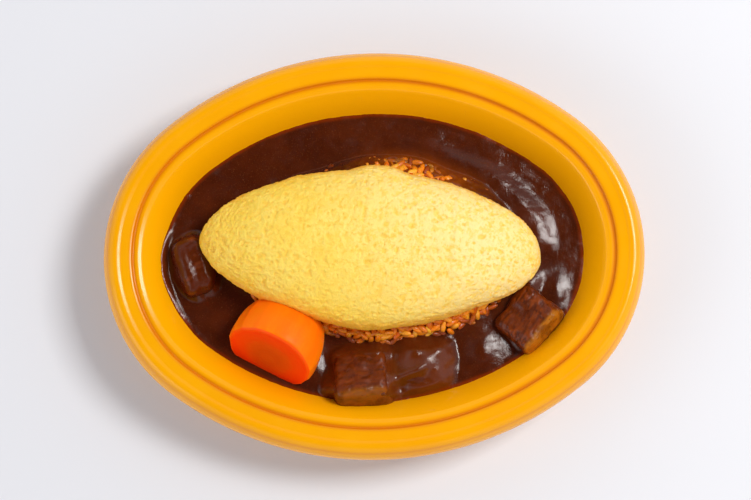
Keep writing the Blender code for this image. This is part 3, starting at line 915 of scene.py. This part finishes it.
def build_sauce(mat):
    count, rows = ((560, 92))
    line = wall_line(count)
    rim = oval(wall_inset(line) - INTO_WALL, count)
    phi = np.arctan2(rim[:, 1] / SAUCE_REACH[1], rim[:, 0] / SAUCE_REACH[0])
    inner = np.column_stack([HEAP_CENTRE[0] + SAUCE_INNER * HEAP_LENGTH / 2 * np.cos(phi),
                             HEAP_CENTRE[1] + SAUCE_INNER * HEAP_WIDTH / 2 * np.sin(phi)])
    t = (np.linspace(0, 1, rows) ** 1.25)[:, None, None]
    x, y = (rim[None] * (1 - t) + inner[None] * t).reshape(-1, 2).T
    pos = np.column_stack([x, y, np.zeros(len(x))]) / MM
    gap = np.hypot(x - np.tile(rim[:, 0], rows), y - np.tile(rim[:, 1], rows))
    line = np.tile(line, rows)

    level = open_surface(x, y, pos, line, gap)
    height = smooth_max(level, heap_film(x, y, pos), 0.0022)
    lumps = 0.0020 * fbm(pos / 7.0, 2, 17) + 0.0009 * fbm(pos / 3.2, 2, 27)
    above = np.full(len(x), -1.0)
    for index in range(len(BEEF)):
        cover = beef_cover(index, x, y)
        above = np.maximum(above, cover)
        height = smooth_max(height, np.where(cover > 0, cover + lumps, cover), 0.0026)
    above = above - level
    height = height + front_fold(x, y)
    # films run smooth, and near the wall nothing stands above the contact line
    laid = smoothstep(-0.0015, 0.0005, above)
    height = evened(height.reshape(rows, count), laid.reshape(rows, count)).ravel()
    off_wall = smoothstep(0, 0.004, gap)
    height = height * off_wall + line * (1 - off_wall)
    edge = smoothstep(0.0026, 0.0003, gap + 0.0006 * fbm(pos / 9.0, 2, 19))

    hidden = hidden_rings(inner, count)
    verts = np.concatenate([np.column_stack([x, y, height])] + hidden)
    total = rows + len(hidden)
    j = np.arange(count)
    k, last = (j + 1) % count, (total - 1) * count
    faces = [grid_faces(total, count), np.stack([last + j, last + k, k, j], -1)]
    pad = np.zeros(len(hidden) * count)
    return mesh_object("sauce_pool", verts, faces, mat,
                       {"film": np.append(film_share(x, y, pos, above), pad),
                        "edge": np.append(edge, pad)})


# ======================================== rice

def build_rice_core(mat):
    count, floor = 180, 0.0098
    angle = np.arange(count) / count * math.tau
    rings = []
    for height, share in ((floor, 0.86), (0.0125, 0.95), (0.0165, 0.99)):
        reach = share * uneven(angle)
        foot = np.column_stack([
            HEAP_CENTRE[0] + (HEAP_LENGTH / 2 * reach - 0.0012) * np.cos(angle),
            HEAP_CENTRE[1] + (HEAP_WIDTH / 2 * reach - 0.0012) * np.sin(angle)])
        rings.append(at_height(foot, height))
    for rise in (0.0, *np.linspace(0.03, 0.985, 34)):
        x, y, z = heap_point(angle, rise, 0.0014)
        rings.append(at_height(np.column_stack([x, y]), z))
    verts = np.concatenate(rings + [[[*HEAP_CENTRE, floor], [*HEAP_CENTRE, HEAP_TOP - 0.001]]])
    obj = mesh_object("rice_core", verts, closed_faces(len(rings), count), mat)
    points, normals = points_and_normals(obj)
    move = np.where(points[:, 2] > 0.020, 0.5 * fbm(points / MM / 2.2, 3, 61), 0)
    move_points(obj, points + normals * move[:, None] * MM)
    set_attribute(obj, "tone", np.clip(0.25 + 0.25 * fbm(points / MM / 2.0, 2, 62), 0, 1))
    set_attribute(obj, "wet", smoothstep(0.0275, 0.0245, points[:, 2]))
    return obj


def grain_shape(rng):
    """One cooked grain along X: plump, a little bent, with a blunt and a sharper end."""
    length = rng.uniform(6.0, 7.6) / 2 * MM
    width, thick = rng.uniform(1.40, 1.72) * MM, rng.uniform(1.18, 1.42) * MM
    bend, twist = rng.uniform(-0.6, 0.6) * MM, rng.uniform(0.6, 1.6)
    angle = np.arange(GRAIN_AROUND) / GRAIN_AROUND * math.tau
    rings = []
    for i in range(1, GRAIN_ALONG):
        s = -math.cos(math.pi * i / GRAIN_ALONG)
        fat = (1 - s * s) ** 0.42 * (1 + 0.10 * s * twist)
        rings.append(np.column_stack([np.full(GRAIN_AROUND, s * length),
                                      width * fat * np.cos(angle) + bend * (1 - s * s),
                                      thick * fat * np.sin(angle)]))
    return np.concatenate(rings + [[[-length, 0, 0], [length, 0, 0]]])


def heap_normal(x, y, step=1e-4):
    slope_x = (heap_height(x + step, y) - heap_height(x - step, y)) / (2 * step)
    slope_y = (heap_height(x, y + step) - heap_height(x, y - step)) / (2 * step)
    return Vector((-slope_x, -slope_y, 1.0))


def build_grains(mat):
    """Grains in the heap's skin, and loose ones that lie in the sauce along its front foot."""
    rng = np.random.default_rng(11)
    quads, *tips = closed_faces(GRAIN_ALONG - 1, GRAIN_AROUND, flip=True)
    tris = np.concatenate(tips)
    verts, quad_list, tri_list, tone, wet, placed = [], [], [], [], [], []
    for _ in range(GRAIN_TRIES):
        angle = rng.uniform(0, math.tau)
        front = math.sin(angle) < 0.05
        loose = front and rng.random() < 0.30
        rise = rng.uniform(0.0, 0.10) if loose else rng.uniform(0.02, 0.66)
        x, y, z = heap_point(angle, rise, 0.0006 + 0.0011 * rng.random() ** 2)
        if loose:
            z = max(z, SAUCE_LEVEL - rng.uniform(0.0002, 0.0012))
        spot = np.array([x, y, z])
        if placed and (np.linalg.norm(np.array(placed) - spot, axis=1) < GRAIN_GAP).any():
            continue
        if loose or rise < 0.05:
            normal = Vector((0.4 * math.cos(angle), 0.6 * math.sin(angle), 1.0))
        else:
            normal = heap_normal(x, y)
        turn = normal.normalized().to_track_quat("Z", "Y").to_matrix()
        spin = Matrix.Rotation(rng.uniform(0, math.tau), 3, "Z")
        tilt = Matrix.Rotation(rng.normal(0, 0.30), 3, "Y") @ Matrix.Rotation(rng.normal(0, 0.5), 3, "X")
        shape = grain_shape(rng) @ np.array(turn @ spin @ tilt).T + spot
        start = len(placed) * len(shape)
        verts.append(shape)
        quad_list.append(quads + start)
        tri_list.append(tris + start)
        shade = rng.normal(0.60, 0.20) - (0.25 if loose else 0) - (0.5 if rng.random() < 0.05 else 0)
        tone.append(np.full(len(shape), np.clip(shade, 0, 1)))
        limit = 0.0262 if front else 0.0308 - 0.0012 * bell(x, 0.02, 0.02)
        soak = smoothstep(limit + 0.0014, limit - 0.0016, shape[:, 2] + rng.normal(0, 0.0006))
        wet.append(soak * rng.uniform(0.35, 0.9))
        placed.append(spot)
    faces = [np.concatenate(quad_list), np.concatenate(tri_list)]
    return mesh_object("rice_grains", np.concatenate(verts), faces, mat,
                       {"tone": np.concatenate(tone), "wet": np.concatenate(wet)})


# ======================================== scene

def build_floor():
    look = Look("floor_paper")
    base = look.mix(look.shape(look.noise(3, 2, 0.5), 0.3, 0.7),
                    (0.745, 0.750, 0.785), (0.755, 0.760, 0.795))
    mat = look.finish(Base_Color=base, Roughness=0.7,
                      Normal=look.bump(look.noise(900, 2, 0.5), 0.05, 0.0002))
    half, drop = 6.0, -0.0002
    verts = [(-half, -half, drop), (half, -half, drop), (half, half, drop), (-half, half, drop)]
    floor = mesh_object("floor", verts, [np.array([[0, 1, 2, 3]])], mat)


def area_light(name, place, size, power, colour):
    """A soft light aimed at the dish."""
    data = bpy.data.lights.new(name, "AREA")
    data.shape = "RECTANGLE"
    data.size, data.size_y = size
    data.energy = power
    data.color = colour
    light = bpy.data.objects.new(name, data)
    light.location = place
    aim = Vector((0, 0, 0.03)) - light.location
    light.rotation_euler = aim.to_track_quat("-Z", "Y").to_euler()
    bpy.context.scene.collection.objects.link(light)


def build_lights():
    area_light("softbox", place=(0.777, 0.252, 1.22), size=(0.46, 0.42), power=15.0,
               colour=(1.0, 0.985, 0.96))
    area_light("fill_left", place=(-1.5, -0.7, 0.9), size=(1.2, 1.2), power=8.0,
               colour=(0.98, 0.985, 1.0))
    # a studio with pale walls and a dark ceiling
    world = bpy.data.worlds.new("studio")
    bpy.context.scene.world = world
    world.use_nodes = True
    tree = world.node_tree
    place = tree.nodes.new("ShaderNodeTexCoord")
    split = tree.nodes.new("ShaderNodeSeparateXYZ")
    fade = tree.nodes.new("ShaderNodeMapRange")
    fade.interpolation_type = "SMOOTHSTEP"
    for key, value in (("From Min", 0.55), ("From Max", 0.93), ("To Min", 0.95), ("To Max", 0.03)):
        fade.inputs[key].default_value = value
    back = tree.nodes["Background"]
    back.inputs["Color"].default_value = (0.95, 0.96, 1.0, 1)
    tree.links.new(place.outputs["Generated"], split.inputs["Vector"])
    tree.links.new(split.outputs["Z"], fade.inputs["Value"])
    tree.links.new(fade.outputs["Result"], back.inputs["Strength"])


def build_camera():
    elevation, roll, distance = math.radians(82.96), math.radians(-1.331), 0.849
    target = Vector((0.00069, 0.00153, RIM * 0.841))
    back = Vector((0, -math.cos(elevation), math.sin(elevation)))
    right = Vector((1, 0, 0))
    up = back.cross(right)
    right, up = (right * math.cos(roll) + up * math.sin(roll),
                 up * math.cos(roll) - right * math.sin(roll))
    data = bpy.data.cameras.new("camera")
    data.lens, data.sensor_width = 85, 36
    data.clip_end = 20
    camera = bpy.data.objects.new("camera", data)
    turn = Matrix((right, up, back)).transposed().to_4x4()
    camera.matrix_world = Matrix.Translation(target + back * distance) @ turn
    bpy.context.scene.collection.objects.link(camera)
    bpy.context.scene.camera = camera
    bpy.context.scene.view_settings.view_transform = "Standard"
    bpy.context.scene.view_settings.exposure = 0.0


build_floor()
build_lights()
build_camera()

keep(build_dish(glaze_look()), "dish")
keep(build_sauce(sauce_look()), "sauce")
rice_mat = rice_look()
keep(build_rice_core(rice_mat), "rice")
keep(build_grains(rice_mat), "rice")
keep(build_omelette(egg_look()), "omelette")
keep(build_carrot(carrot_look()), "carrot")
beef_mat = beef_look()
for number, entry in enumerate(BEEF):
    keep(build_beef(number, beef_mat), entry[0])
